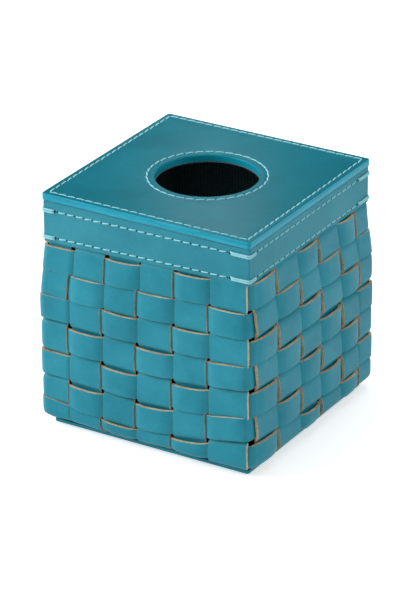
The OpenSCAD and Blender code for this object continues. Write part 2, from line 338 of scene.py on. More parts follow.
def unshaded_share(s):
    """From 0 deep in the weave's gaps, where the painted shade is full, to 1 at its outside and at
    its foot.
    """
    split = s.node("SeparateXYZ", {"Vector": s.place})
    x, y, z = (split.outputs[axis] for axis in "XYZ")
    reach = s.math("MAXIMUM", s.math("ABSOLUTE", x), s.math("ABSOLUTE", y))
    # Height with its sign turned, because what follows rises on the way down
    down = s.math("MULTIPLY", z, -1.0)
    bulge = s.spread(down, 0.0, BULGE, -COLLAR_Z, -BULGE_FULL_Z, "SMOOTHSTEP")
    depth = s.math("SUBTRACT", reach, bulge)
    outside = s.spread(depth, 0.0, 1.0, CASE + GAP_SHADE_FROM, CASE + GAP_SHADE_TO, "SMOOTHSTEP")
    foot = s.spread(down, 0.0, 1.0, -FOOT_TOP - GAP_SHADE_FOOT, -FOOT_TOP, "SMOOTHSTEP")
    return s.math("MAXIMUM", outside, foot)


def raw_edge(name, dark, middle, light):
    """Bare cut leather: tan fibres with darker specks, and painted shade down in the weave's gaps.
    """
    s = Shader(name)
    fibres, patches = s.noise(900, 4, 0.7), s.noise(120, 3, 0.6)
    # Painted shade: deep in the weave's gaps the fibres' tone drops to the ramp's darkest stops
    mixed = s.math("MULTIPLY", s.mix(fibres, patches, 0.5), unshaded_share(s))
    colour = s.ramp(mixed, (0.0, GAP_SHADE), (0.12, GAP_SHADE), (0.36, dark), (0.52, middle), (0.68, light))
    return s.finish(colour, s.spread(patches, 0.78, 0.95), s.bump(fibres, 0.7, 0.18 * MM), 0.3)


def woven_cloth(name, dark, light):
    """Plain woven lining cloth, with threads 0.6 mm apart."""
    s = Shader(name)
    count = 1 / (0.6 * MM) / (2 * pi) * 0.5
    over, level, upright = (s.bands(count, axis) for axis in "XYZ")
    weave = s.math("MAXIMUM", s.math("MULTIPLY", over, level), s.math("MULTIPLY", upright, over))
    shade = s.mix(weave, s.noise(300, 3), 0.5)
    colour, rough = s.ramp(shade, (0.2, dark), (0.8, light)), s.spread(shade, 0.95, 0.8)
    sheen = {"Sheen Weight": 0.25, "Sheen Roughness": 0.5}
    return s.finish(colour, rough, s.bump(weave, 0.6, 0.2 * MM), 0.2, sheen)


def board(name, dark, middle, light):
    """Dyed fibre board with a fine grain along its length."""
    s = Shader(name)
    grain = s.noise(90, 5, 0.65, s.scaled((1.0, 1.0, 7.0)), 0.8)
    colour = s.ramp(grain, (0.30, dark), (0.50, middle), (0.72, light))
    return s.finish(colour, s.spread(grain, 0.6, 0.75), s.bump(grain, 0.35, 0.2 * MM), 0.35)


def felt(name, dark, light):
    """Matted fibres."""
    s = Shader(name)
    fibres = s.noise(700, 6, 0.75, warp=1.5)
    colour, rough = s.ramp(fibres, (0.35, dark), (0.65, light)), s.spread(fibres, 0.9, 1.0)
    return s.finish(colour, rough, s.bump(fibres, 0.8, 0.4 * MM), 0.15, {"Sheen Weight": 0.4})


def cotton(name, dark, middle, light):
    """Waxed sewing thread with fine fibres."""
    s = Shader(name)
    fibres = s.noise(2600, 3, 0.6)
    colour = s.ramp(fibres, (0.32, dark), (0.52, middle), (0.72, light))
    rough, normal = s.spread(fibres, 0.45, 0.65), s.bump(fibres, 0.5, 0.08 * MM)
    return s.finish(colour, rough, normal, 0.4, {"Sheen Weight": 0.2})


def needle_shade(name, dark, light):
    """The painted shade inside a needle hole."""
    s = Shader(name)
    colour = s.ramp(s.noise(900, 2), (0.3, dark), (0.7, light))
    return s.finish(colour, s.spread(s.noise(300, 2), 0.85, 1.0), None, 0.1)


# Materials, with their colours from dark to light as seen on screen
STRAP_LEATHER = leather(
    "strap_leather", (18, 128, 148), (30, 142, 163), (46, 153, 174), 0.46, 0.25
)
COLLAR_LEATHER = leather(
    "collar_leather", (34, 132, 151), (44, 144, 163), (56, 154, 173), 0.50, 0.25
)
LID_LEATHER = leather(
    "lid_leather", (0, 101, 116), (4, 110, 126), (12, 119, 135), 0.32, 0.5, 1.11
)
EDGE_PAINT = painted_edge("edge_paint", (10, 150, 174), (20, 164, 190), (42, 178, 202))
BASE_PAINT = painted_edge("base_paint", (12, 132, 148), (22, 146, 163), (42, 157, 175))
RAW_EDGE = raw_edge("raw_edge", (172, 146, 116), (216, 190, 156), (236, 214, 184))
# The straps' flesh side, darkened into painted shade, since it shows only down in the weave's gaps
SHADED_FLESH_SIDE = raw_edge("shaded_flesh_side", (46, 38, 32), (66, 54, 45), (86, 72, 60))
LINING = woven_cloth("lining_cloth", (64, 86, 90), (104, 130, 134))
# Near-black board for the walls: painted shade for the dark holes between the straps
SHADE_BLACK_BOARD = board("shade_black_board", (24, 18, 16), (34, 26, 23), (46, 36, 31))
TEAL_BOARD = board("teal_board", (30, 96, 108), (38, 112, 126), (50, 126, 140))
FELT = felt("felt", (40, 50, 54), (74, 86, 90))
THREAD = cotton("thread", (120, 208, 222), (160, 232, 242), (202, 246, 250))
# Dark dimples at the needle holes: painted shade for the holes' insides
HOLE_SHADE = needle_shade("needle_hole", (10, 34, 40), (20, 54, 62))


def link_object(name, data):
    """A new object in the scene."""
    made = bpy.data.objects.new(name, data)
    bpy.context.scene.collection.objects.link(made)
    return made


def link_piece(name, points, faces, materials, looks, sharp=35.0, weighted=True):
    """Makes a mesh object in the row frame from plain points and faces."""
    mesh = bpy.data.meshes.new(name)
    mesh.from_pydata([tuple(p) for p in points], [], faces)
    for material in materials:
        mesh.materials.append(material)
    mesh.polygons.foreach_set("material_index", looks)
    mesh.polygons.foreach_set("use_smooth", [True] * len(faces))
    mesh.update()
    mesh.set_sharp_from_angle(angle=radians(sharp))
    piece = link_object(name, mesh)
    if weighted:
        shading = piece.modifiers.new("even_shading", "WEIGHTED_NORMAL")
        shading.keep_sharp = True
        shading.weight = 60
    return piece


def settle(piece, body, node):
    """Puts a finished piece on its body, in place of its CAD node."""
    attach(piece, body)
    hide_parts(node)


def turned(vector, face):
    """A place or direction at the front, turned round the box onto face 0 to 3."""
    x, y, z = vector
    for _ in range(face % 4):
        x, y = -y, x
    return Vector((x, y, z))


def on_face(along, depth, z, face):
    """A point given along a face and out from the walls."""
    return turned((along, -CASE - depth, z), face)


def between(stops, values, place):
    """The value at a place among rising stops, level beyond both ends."""
    k = clamp(bisect.bisect_right(stops, place) - 1, 0, len(stops) - 2)
    share = clamp((place - stops[k]) / max(stops[k + 1] - stops[k], 1e-12))
    return values[k] + (values[k + 1] - values[k]) * share


def resample(points, closed):
    """The same line with its points an even step apart."""
    line = list(points) + ([points[0]] if closed else [])
    reach = [0.0]
    for a, b in zip(line, line[1:]):
        reach.append(reach[-1] + dist(a, b))
    count = max(2, round(reach[-1] / STEP))
    wants = [reach[-1] * i / count for i in range(count + (not closed))]
    axes = list(zip(*line))
    return [tuple(between(reach, values, want) for values in axes) for want in wants]


def soften(points, sigma, closed):
    """Rounds a line's bends, as a stiff strap would."""
    half = max(1, ceil(3 * sigma / STEP))
    weights = [exp(-0.5 * (k * STEP / sigma) ** 2) for k in range(-half, half + 1)]
    total, count = sum(weights), len(points)
    out = []
    for i in range(count):
        sums = [0.0] * len(points[0])
        for k, weight in zip(range(-half, half + 1), weights):
            j = (i + k) % count if closed else clamp(i + k, 0, count - 1)
            for axis, value in enumerate(points[j]):
                sums[axis] += value * weight
        out.append(tuple(value / total for value in sums))
    if not closed:
        out[0], out[-1] = points[0], points[-1]
    return out


def arch(share, height, edge_share, peak=0.0):
    """Height of an arched crossing from share -1 to 1, with room for the strap below."""
    side = copysign(1, share - peak)
    reach = 1 - side * peak
    power = log(1 - LIFT / height) / log((edge_share - side * peak) / reach)
    return height * (1 - min(abs(share - peak) / reach, 1.0) ** power)


def ring_of(face, col):
    """Upright straps counted round the box; the first and the middle one fold round a corner."""
    return face * COLUMNS + col + (face > 1)


def weft_is_over(row, ring):
    """Whether a level strap runs outside an upright one."""
    return (row + ring) % 2 == 1


# Strap edges: where each upright strap lies on its face, and each level strap's height
warp_edges = {}
for face, side in enumerate(SIDES):
    for col in range(1, COLUMNS + 1):
        low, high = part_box(f"warp_{side}_{col}")
        ends = ((low.x, high.x), (low.y, high.y), (-high.x, -low.x), (-high.y, -low.y))[face]
        warp_edges[face, col] = tuple(
            end + drift * MM for end, drift in zip(ends, DRIFTS[face][col - 1])
        )

weft_edges = {}
for row in range(1, ROWS + 1):
    low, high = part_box(f"weft_strap_{row}")
    weft_edges[row] = (low.z - (FOOT_ROW_DROP if row == ROWS else 0.0), high.z)
leg = -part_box("warp_corner_left")[1].x
CORNER_LEGS = [leg + drift * MM for drift in LEG_DRIFTS]
warp_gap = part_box("warp_front_2")[0].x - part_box("warp_front_1")[1].x
weft_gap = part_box("weft_strap_1")[0].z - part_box("weft_strap_2")[1].z


def row_drift(row, x, y):
    """How far a row hangs off its even height at a place round the box."""
    u, v = (clamp(0.5 + value / (2 * CASE)) for value in (x, y))
    if abs(y) >= abs(x):
        turn = u if y < 0 else 3 - u
    else:
        turn = 1 + v if x > 0 else 4 - v
    places = ROW_DRIFTS[row]
    share = min(turn, 4 - turn) / 2 * (len(places) - 1)
    i = min(int(share), len(places) - 2)
    share -= i
    before, here, there = places[max(i - 1, 0)], places[i], places[i + 1]
    after = places[min(i + 2, len(places) - 1)]
    bend = (
        2 * here + (there - before) * share
        + (2 * before - 5 * here + 4 * there - after) * share ** 2
        + (3 * here - before - 3 * there + after) * share ** 3
    )
    return bend / 2 * MM


def row_edges(row, x, y):
    """The lower and upper edge of a level strap at a place round the box."""
    low, high = (edge + row_drift(row, x, y) for edge in weft_edges[row])
    if row < ROWS:
        return max(low, weft_edges[row + 1][1] + row_drift(row + 1, x, y) + ROW_CLEAR), high
    return max(low, FOOT_ROW_LOW), high


def row_span(row, face, along):
    """The lower and upper edge of a level strap at a place along a face."""
    x, y, _ = on_face(along, 0, 0, face)
    return row_edges(row, x, y)


# Which look a strap's or a sheet's faces have
FACE, CUT, BACK = 0, 1, 2
STRAP_MATERIALS = (STRAP_LEATHER, RAW_EDGE, SHADED_FLESH_SIDE)


def strap_section(places, backs, cup_power):
    """A strap's section as (side, inset, rise) points, and the look of the face after each.

    The side runs from -1 to 1 over the width. Its face has points at the places, its back at backs.
    """
    edge = []
    for turn in (90, 60, 30, 0):
        angle = radians(turn)
        rise = STRAP_T - CUP - EDGE_EASE * (1 - sin(angle))
        edge.append((EDGE_EASE * (1 - cos(angle)), rise))
    edge += [(SIDE_HOLLOW, STRAP_T * SIDE_MIDDLE), (0.0, BACK_EASE), (BACK_EASE, 0.0)]
    section = [(place, 0.0, STRAP_T - CUP * abs(place) ** cup_power) for place in places]
    section += [(1.0, inset, rise) for inset, rise in edge]
    section += [(place, 0.0, 0.0) for place in backs]
    section += [(-1.0, inset, rise) for inset, rise in reversed(edge)]
    cut = [CUT] * (len(edge) - 2)
    looks = [FACE] * (len(places) + 1) + cut + [BACK] * (len(backs) + 1) + cut + [FACE] * 2
    return section, looks


SECTION, SECTION_LOOKS = strap_section((-0.72, -0.36, 0.0, 0.36, 0.72), (0.0,), 2)
FOLD_PLACES = (-0.9, -0.7, -0.5, *(FOLD_SHARE * (i / 3 - 1) for i in range(7)), 0.5, 0.7, 0.9)
FOLD_SECTION, FOLD_LOOKS = strap_section(FOLD_PLACES, FOLD_PLACES[::-1], 1)


def ring_faces(rings, size, start=0, closed=False):
    """Faces between rings of points in a row, which may close on itself."""
    faces = []
    for i in range(rings if closed else rings - 1):
        here, there = start + i * size, start + (i + 1) % rings * size
        for k in range(size):
            n = (k + 1) % size
            faces.append((here + k, here + n, there + n, there + k))
    return faces


def ring_caps(rings, size, start=0):
    """The first and the last face of such a row."""
    end = start + (rings - 1) * size
    return [tuple(range(start, start + size))[::-1], tuple(range(end, end + size))]


def link_strap(name, node, points, section_looks, closed):
    """Makes a strap out of the rings of its section's points."""
    size = len(section_looks)
    rings = len(points) // size
    faces = ring_faces(rings, size, closed=closed)
    looks = section_looks * (len(faces) // size)
    if not closed:
        faces += ring_caps(rings, size)
        looks += [CUT, CUT]
    piece = link_piece(f"woven_{name}", points, faces, STRAP_MATERIALS, looks)
    settle(piece, "box", node)


def section_place(low, high, side, inset):
    """Where a section point lies between a strap's two edges."""
    middle, half = (low + high) / 2, (high - low) / 2
    return middle + side * half - copysign(inset, side) * (side != 0)


def wander(z, ring):
    """A slow hand-made drift along an upright strap."""
    return noise.noise(Vector((z / WANDER_LENGTH, ring * 7.3, 0.5))) * STRAP_WANDER


def foot_bend(depth, z):
    """Bends what lies below the top of the walls' rounded foot inward."""
    if z >= FOOT_TOP:
        return depth, z
    height = FOOT_H + FOOT_SPREAD * depth
    angle = (FOOT_TOP - z) / height
    if angle > pi / 2:
        return -FOOT_R - (angle - pi / 2) * height, FOOT_TOP - height
    return (FOOT_R + depth) * cos(angle) - FOOT_R, FOOT_TOP - height * sin(angle)


def bulged(point):
    """Moves a point of the weave outward by what the weave bulges at its height."""
    z = point.z
    share = clamp((COLLAR_Z - z) / (COLLAR_Z - BULGE_FULL_Z))
    rise = share * share * (3 - 2 * share)
    if z < BULGE_FOOT_Z:
        down = min((BULGE_FOOT_Z - z) / (BULGE_FOOT_Z - FOOT_Z), 1)
        rise *= sqrt(1 - down * down)
    scale = 1 + rise * BULGE / CASE
    return Vector((point.x * scale, point.y * scale, z))


def corner_turn(along, depth, radius, face):
    """A quarter turn from one face to the next."""
    points = []
    for i in range(CORNER_STEPS + 1):
        angle = radians(90 * i / CORNER_STEPS)
        reach, rise = along + radius * sin(angle), depth + radius * cos(angle)
        points.append(on_face(reach, rise, 0, face).to_2d())
    return points


def lean(z, face):
    """How far an upright strap lies along its face at a height, for its lean."""
    return LEAN[face] * ((FOOT_Z + COLLAR_Z) / 2 - z)


def crossing_points(row, face, col):
    """A level strap's line over or under one upright strap."""
    slant = lean(sum(weft_edges[row]) / 2, face)
    left, right = (edge + slant for edge in warp_edges[face, col])
    right = min(right, CASE - CROSSING_INSET)
    middle, half = (left + right) / 2, (right - left) / 2
    over = weft_is_over(row, ring_of(face, col))
    reach = half + warp_gap
    span, steps = (reach, ARCH_STEPS) if over else (half, 1)
    # Whether the line goes on in a bend round a corner where no upright strap folds
    bend_left, bend_right = col == 1 and face % 2 == 1, col == COLUMNS and face % 2 == 0
    points = []
    for i in range(steps + 1):
        offset = -span + 2 * span * i / steps
        in_left = bend_left and offset < BEND_CLEAR - half
        if in_left or (bend_right and offset > half - BEND_CLEAR):
            continue
        rise = arch(offset / reach, ARCH_WEFT[face] * MM, half / reach) if over else 0.0
        points.append(on_face(middle + offset, rise, 0, face).to_2d())
    return points


def weft_line(row):
    """The inner line of a level strap all the way round, as (x, y) points."""
    points = []
    for face in range(4):
        for col in range(1, COLUMNS + 1):
            points += crossing_points(row, face, col)
        if face % 2 == 1:
            # Over or under an upright strap that folds round the same corner
            ring = ring_of(face, COLUMNS + 1) % (4 * COLUMNS + 2)
            level = LIFT if weft_is_over(row, ring) else 0.0
            turn = (FOLD_SPRING if level else 0.0) - FOLD_R
            end, start = CORNER_LEGS[face] - LEG_CLEAR, LEG_CLEAR - CORNER_LEGS[(face + 1) % 4]
            points.append(on_face(end, level, 0, face).to_2d())
            points += corner_turn(CASE + turn, turn, FOLD_R + level, face)
            points.append(on_face(start, level, 0, face + 1).to_2d())
            continue
        # The bend between two faces' straps, sprung a little off the corner
        here = LIFT if weft_is_over(row, ring_of(face, COLUMNS)) else 0.0
        there = LIFT if weft_is_over(row, ring_of(face + 1, 1)) else 0.0
        turn = CORNER_SPRING - CORNER_BEND
        points += corner_turn(CASE + there + turn, here + turn, CORNER_BEND, face)
    return soften(resample(points, True), SOFTEN, True)


def make_weft(row):
    """A level strap: its line swept with its section, and bent with the foot and the bulge."""
    line = weft_line(row)
    count = len(line)
    points = []
    for i, (x, y) in enumerate(line):
        low, high = row_edges(row, x, y)
        ahead, behind = Vector(line[(i + 1) % count]), Vector(line[i - 1])
        way = (ahead - behind).normalized()
        out = Vector((way.y, -way.x))
        turn = 2 * pi * i / count
        drift = noise.noise(Vector((3 * cos(turn), 3 * sin(turn), row * 5.1)))
        drift *= STRAP_WANDER
        for side, inset, rise in SECTION:
            z = section_place(low, high, side, inset) + drift
            px, py = x + out.x * rise, y + out.y * rise
            if z < FOOT_TOP:
                reach = max(abs(px), abs(py))
                depth, z = foot_bend(reach - CASE, z)
                scale = (CASE + depth) / reach
                px, py = px * scale, py * scale
            points.append(bulged(Vector((px, py, z))))
    link_strap(f"weft_{row}", f"weft_strap_{row}", points, SECTION_LOOKS, True)


def warp_line(face, along, ring, height):
    """The inner line of an upright strap, as (depth, z) points from head to foot."""
    points = [(0.0, HEAD_Z), (0.0, COLLAR_Z + HEAD_STRAIGHT)]
    for row in range(1, ROWS + 1):
        low, high = row_span(row, face, along)
        middle, half = (low + high) / 2, (high - low) / 2
        if weft_is_over(row, ring):
            points += [foot_bend(0.0, high), foot_bend(0.0, max(low, FOOT_TOP))]
            continue
        reach = half + weft_gap
        for i in range(ARCH_STEPS + 1):
            offset = reach - 2 * reach * i / ARCH_STEPS
            if row == ROWS and offset < FOOT_CLEAR - half:
                continue
            depth = arch(offset / reach, height, half / reach, PEAK)
            depth, z = foot_bend(depth, middle + offset)
            points.append((depth, max(z, FOOT_Z)))
    depth, last = points[-1]
    for i in range(1, FOOT_STEPS + 1):
        angle = radians(90 * i / FOOT_STEPS)
        if weft_is_over(ROWS, ring):
            points.append(foot_bend(0.0, FOOT_TOP - FOOT_H * angle))
        else:
            inward, down = FOOT_R * (1 - cos(angle)), (last - FOOT_Z) * sin(angle)
            points.append((depth - inward, last - down))
    points.append((-TUCK, FOOT_Z))
    return soften(resample(points, False), SOFTEN_WARP, False)


def row_slant(z, face, middle, edge):
    """How much higher the rows lie at an upright strap's edge than at its middle."""
    rises, heights = [0.0], [COLLAR_Z + HEAD_STRAIGHT]
    here = on_face(middle, 0, 0, face)
    there = on_face(edge, 0, 0, face)
    for row in range(1, ROWS + 1):
        drift = row_drift(row, here.x, here.y)
        rises.append(row_drift(row, there.x, there.y) - drift)
        heights.append(sum(weft_edges[row]) / 2 + drift)
    rises.append(0.0)
    heights.append(min(FOOT_Z, heights[-1] - MM))
    return between(heights[::-1], rises[::-1], z)


def outward(line, i):
    """The direction that looks out of a strap's side view at one of its points."""
    ahead, behind = line[min(i + 1, len(line) - 1)], line[max(i - 1, 0)]
    way = Vector((ahead[0] - behind[0], ahead[1] - behind[1])).normalized()
    return Vector((-way.y, way.x))


def sway(z, ring, size):
    """The slant of an upright strap's crossings, back and forth over two rows."""
    top = weft_edges[1][1] + weft_gap / 2
    pitch = weft_edges[1][1] - weft_edges[2][1]
    phase = (top - z) / pitch - 0.5 + (0 if weft_is_over(2, ring) else 1)
    return size * sin(pi * phase)


def make_warp(face, col):
    """An upright strap that stays on one face."""
    left, right = warp_edges[face, col]
    ring, middle = ring_of(face, col), (left + right) / 2
    line = warp_line(face, middle, ring, ARCH_WARP[face] * MM)
    points = []
    for i, (depth, z) in enumerate(line):
        out = outward(line, i)
        drift = wander(z, ring) + sway(z, ring, SWAY[face] * MM) + lean(z, face)
        slants = [row_slant(z, face, middle, edge) for edge in (left, right)]
        for side, inset, rise in SECTION:
            skew = (slants[0] * (1 + side) + slants[1] * (1 - side)) / 2
            along = section_place(left + drift, right + drift, -side, inset)
            d = depth + out.x * rise
            limit = CASE + d if d < 0 else CASE - WARP_INSET + WARP_SPREAD * max(depth, 0)
            along = clamp(along, -limit, limit)
            points.append(bulged(on_face(along, d, z + out.y * rise + skew, face)))
    name = f"warp_{SIDES[face]}_{col}"
    link_strap(name, name, points, SECTION_LOOKS, False)


def fold_point(place, inset, depth, rise, out, z, face, drift):
    """A point of a strap folded round the corner at the left end of a face."""
    reach = depth + out.x * rise
    height = z + out.y * rise
    radius = FOLD_R + rise + max(depth, 0)
    start = CASE + reach - radius
    if abs(place) <= FOLD_SHARE:
        angle = radians(45 + 45 * place / FOLD_SHARE)
        along, inward = start + radius * sin(angle), radius - radius * cos(angle)
        return on_face(along, reach - inward, height, face - 1)
    share = (abs(place) - FOLD_SHARE) / (1 - FOLD_SHARE)
    leg = CORNER_LEGS[(face - 1) % 4 if place < 0 else face] + drift
    along = start + (min(leg, start) - start) * share + inset
    if place < 0:
        return on_face(along, reach, height, face - 1)
    return on_face(-along, reach, height, face)


def make_corner_warp(face, ring, corner):
    """An upright strap folded round the corner at the left end of a face."""
    line = warp_line(face, -CASE, ring, ARCH_FOLD * MM)
    points = []
    for i, (depth, z) in enumerate(line):
        out = outward(line, i)
        drift = wander(z, ring)
        for place, inset, rise in FOLD_SECTION:
            points.append(bulged(fold_point(-place, inset, depth, rise, out, z, face, drift)))
    name = f"warp_corner_{corner}"
    link_strap(name, name, points, FOLD_LOOKS, False)


for row in range(1, ROWS + 1):
    make_weft(row)
for face in range(4):
    for col in range(1, COLUMNS + 1):
        make_warp(face, col)
make_corner_warp(0, 0, "left")
make_corner_warp(2, 2 * COLUMNS + 1, "right")


def hung(point):
    """Moves a point of the collar down by what the collar hangs at its place."""
    u, v = (clamp(0.5 - value / (2 * COLLAR)) for value in (point.x, point.y))
    down = clamp((COLLAR_TOP - point.z) / (COLLAR_TOP - COLLAR_Z))
    return point - Vector((0, 0, COLLAR_HANG * u * v * sqrt(down)))


def collar_side():
    """The collar's outer side as (z, inset) points, with eased edges and two grooves."""
    eased = [
        (0.0, COLLAR_EASE * 0.6), (COLLAR_EASE_RISE, COLLAR_EASE * 0.25), (COLLAR_EASE, 0.0)
    ]
    side = [(COLLAR_Z + rise, inset) for rise, inset in eased]
    for height in (LOWER_ROW, UPPER_ROW):
        side += [(height + offset, dip) for offset, dip in GROOVE_SHAPE]
    return side + [(COLLAR_TOP - rise, inset) for rise, inset in reversed(eased)]


def collar_path():
    """A collar strip's length as (along, sink, at an end) points, with rounded ends."""
    straight = COLLAR - COLLAR_BEND
    end = []
    for turn in (45, 30, 15, 0):
        angle = radians(turn)
        inward = COLLAR_BEND * (1 - sin(angle))
        end.append((-COLLAR + inward, COLLAR_BEND * (1 - cos(angle)), True))
    middle = [
        (-straight + 2 * straight * i / COLLAR_STEPS, 0.0, False) for i in range(1, COLLAR_STEPS)
    ]
    return end + middle + [(-along, sink, True) for along, sink, _ in reversed(end)]


def make_collar(face):
    """A collar strip whose ends lie on the mitre lines."""
    side, path = collar_side(), collar_path()
    thick, inner_depth = COLLAR - COLLAR_IN, COLLAR_IN - CASE
    points = []
    for along, sink, at_end in path:
        inner = copysign(COLLAR_IN, along) if abs(along) > COLLAR_IN or at_end else along
        wave = COLLAR_WAVE * noise.noise(Vector((along / COLLAR_WAVE_LENGTH, face * 3.7, 0)))
        outer_depth = COLLAR - CASE - sink + (0 if at_end else wave)
        for z, inset in side:
            share = (thick - inset) / thick
            depth = inner_depth + (outer_depth - inner_depth) * share
            points.append(hung(on_face(inner + (along - inner) * share, depth, z, face)))
        for z in (COLLAR_TOP, COLLAR_Z):
            points.append(hung(on_face(inner, inner_depth, z, face)))
    size = len(side) + 2
    faces = ring_faces(len(path), size) + ring_caps(len(path), size)
    looks = ([FACE] * (len(side) - 1) + [CUT] * 3) * (len(path) - 1) + [CUT, CUT]
    piece = link_piece(
        f"collar_strip_{SIDES[face]}", points, [corners[::-1] for corners in faces],
        (COLLAR_LEATHER, RAW_EDGE), looks, 50
    )
    settle(piece, "box", f"collar_{SIDES[face]}")


for face in range(4):
    make_collar(face)


def wheel(first, second, count):
    """Spokes all round a circle, from the first towards the second."""
    turns = [2 * pi * k / count for k in range(count)]
    return [first * cos(turn) + second * sin(turn) for turn in turns]


class Threads:
    """Collects thread and needle holes into one mesh."""

    def __init__(self):
        self.points, self.faces, self.looks = [], [], []

    def add(self, faces, look):
        """Adds faces that share a look: 0 for thread, 1 for a needle hole."""
        self.faces += faces
        self.looks += [look] * len(faces)

    def strand(self, line, radius, sides=6):
        """A round strand along a list of points, closed at both ends."""
        start = len(self.points)
        for i, here in enumerate(line):
            way = (line[min(i + 1, len(line) - 1)] - line[max(i - 1, 0)]).normalized()
            across = way.orthogonal().normalized()
            if i:
                across = (last - way * last.dot(way)).normalized()
            last = across
            spokes = wheel(across, way.cross(across), sides)
            self.points += [here + spoke * radius for spoke in spokes]
        self.add(ring_faces(len(line), sides, start) + ring_caps(len(line), sides, start), 0)

    def twisted(self, line, ups, radius, turns, squash=0.8, plies=3):
        """A twisted thread along a line, pressed a little flat."""
        count = len(line)
        for ply in range(plies):
            path = []
            for i, here in enumerate(line):
                way = (line[min(i + 1, count - 1)] - line[max(i - 1, 0)]).normalized()
                up = (ups[i] - way * ups[i].dot(way)).normalized()
                angle = 2 * pi * (turns * i / (count - 1) + ply / plies)
                spoke = up * sin(angle) * squash + way.cross(up) * cos(angle)
                path.append(here + spoke * radius * PLY_OFFSET)
            self.strand(path, radius * PLY_R)

    def needle_hole(self, centre, up, along, radius):
        """A small dark dimple pressed into the leather, coloured as painted shade for the hole."""
        start, count = len(self.points), 10
        spokes = wheel(along, up.cross(along) * HOLE_SQUASH, count)
        for size, rise in ((1.25, 0.0), (1.0, 0.05 * MM), (0.75, 0.02 * MM)):
            rim = centre + up * rise
            self.points += [rim + spoke * radius * size for spoke in spokes]
        self.add(ring_faces(3, count, start) + ring_caps(3, count, start)[1:], 1)

    def stitch(self, centre, along, up, length, seed):
        """One stitch between two needle holes, leaning off its row."""
        rng = random.Random(seed)
        slant = STITCH_LEAN + radians(rng.uniform(-2.0, 2.0))
        across = up.cross(along)
        way = (along * cos(slant) + across * sin(slant)).normalized()
        length *= rng.uniform(0.95, 1.04)
        line, steps = [], 12
        for i in range(steps + 1):
            share = i / steps
            rise = THREAD_R * (1.35 * sin(pi * share) ** 0.45 - 0.95)
            line.append(centre + way * (share - 0.5) * length + up * rise)
        self.twisted(line, [up] * len(line), THREAD_R, rng.uniform(1.3, 1.7))

    def sew(self, places, length, seed):
        """Needle holes and stitches in turn, at (centre, along, up) places."""
        for i, (centre, along, up) in enumerate(places):
            if i % 2:
                self.stitch(centre, along, up, length, seed + i // 2)
            else:
                self.needle_hole(centre, up, along, NEEDLE_R)

    def runs(self, start, end, line, up, share, seed):
        """A row of stitches along each face."""
        count = round((end - start) / STITCH_PITCH)
        pitch = (end - start) / count
        for face in range(4):
            along, out = turned((1, 0, 0), face), turned(up, face)
            places = []
            for i in range(2 * count + 1):
                centre = turned((start + i / 2 * pitch, *line), face) - out * STITCH_SINK
                places.append((centre, along, out))
            self.sew(places, pitch * share, seed + face * 40)

    def piece(self, name, body, node, hang=False):
        """Makes the mesh and puts it on its body; on the collar, it hangs as the collar does."""
        if hang:
            self.points = [hung(point) for point in self.points]
        made = link_piece(name, self.points, self.faces, (THREAD, HOLE_SHADE), self.looks, 60, False)
        settle(made, body, node)


def collar_stitches(name, height, seed):
    """One of the two rows of running stitches round the collar."""
    threads = Threads()
    start = -COLLAR + CORNER_LEG_R + CORNER_STITCH_GAP
    end = COLLAR - CORNER_LEG_L - CORNER_STITCH_GAP
    threads.runs(start, end, (-COLLAR, height), (0, -1, 0), STITCH_SHARE, seed)
    threads.piece(f"collar_thread_{name}", "box", f"collar_stitch_{name}", True)


collar_stitches("upper", UPPER_ROW, 100)
collar_stitches("lower", LOWER_ROW, 300)


def corner_line(left_leg):
    """A thick thread round the corner between front and right, as (x, y) points with its ups."""
    out, sunk, bend = CORNER_THREAD_R * 0.75, CORNER_THREAD_R * 0.6, CORNER_THREAD_BEND
    flat, ups = [], []
    for i in range(17):
        share = i / 16
        rise = out * min(1.0, share * 9) - sunk * (share < 0.06)
        flat.append((COLLAR - left_leg + share * (left_leg - bend), -COLLAR - rise))
        ups.append((0, -1, 0))
    for i in range(1, 7):
        angle = radians(90 * i / 6)
        reach, sine, cosine = bend + out, sin(angle), cos(angle)
        flat.append((COLLAR - bend + reach * sine, -COLLAR + bend - reach * cosine))
        ups.append((sine, -cosine, 0))
    for i in range(1, 13):
        share = i / 12
        rise = out * min(1.0, (1 - share) * 7) - sunk * (share > 0.95)
        flat.append((COLLAR + rise, -COLLAR + bend + share * (CORNER_LEG_R - bend)))
        ups.append((1, 0, 0))
    return flat, ups


def corner_stitches():
    """Two thick threads side by side over each corner, at both stitch rows."""
    threads = Threads()
    pair = (
        (corner_line(CORNER_LEG_L - 0.2 * MM), -CORNER_THREAD_R * 1.02),
        (corner_line(CORNER_LEG_L + 0.3 * MM), CORNER_THREAD_R * 1.02),
    )
    left_end = (COLLAR - CORNER_LEG_L - 0.5 * MM, -COLLAR)
    right_end = (COLLAR, -COLLAR + CORNER_LEG_R + 0.4 * MM)
    for face in range(4):
        for height in (UPPER_ROW, LOWER_ROW):
            for (flat, ups), rise in pair:
                line = [turned((x, y, height + rise), face) for x, y in flat]
                face_ups = [turned(up, face) for up in ups]
                threads.twisted(line, face_ups, CORNER_THREAD_R, 5.5, 0.75)
            for end, up, along in (
                (left_end, (0, -1, 0), (1, 0, 0)), (right_end, (1, 0, 0), (0, 1, 0))
            ):
                centre, up, along = (turned(v, face) for v in ((*end, height), up, along))
                threads.needle_hole(centre, up, along, CORNER_NEEDLE_R)
    threads.piece("collar_corner_threads", "box", "collar_corner_stitches", True)


corner_stitches()


def square_ring(half, radius, per_side=28, per_corner=8):
    """A rounded square as a ring of points, always the same number of them."""
    ring = []
    for face in range(4):
        reach = half - radius
        for i in range(per_side):
            ring.append(turned((-reach + 2 * reach * i / per_side, -half, 0), face))
        for i in range(per_corner):
            angle = radians(90 * i / per_corner)
            x, y = reach + radius * sin(angle), -reach - radius * cos(angle)
            ring.append(turned((x, y, 0), face))
    return ring


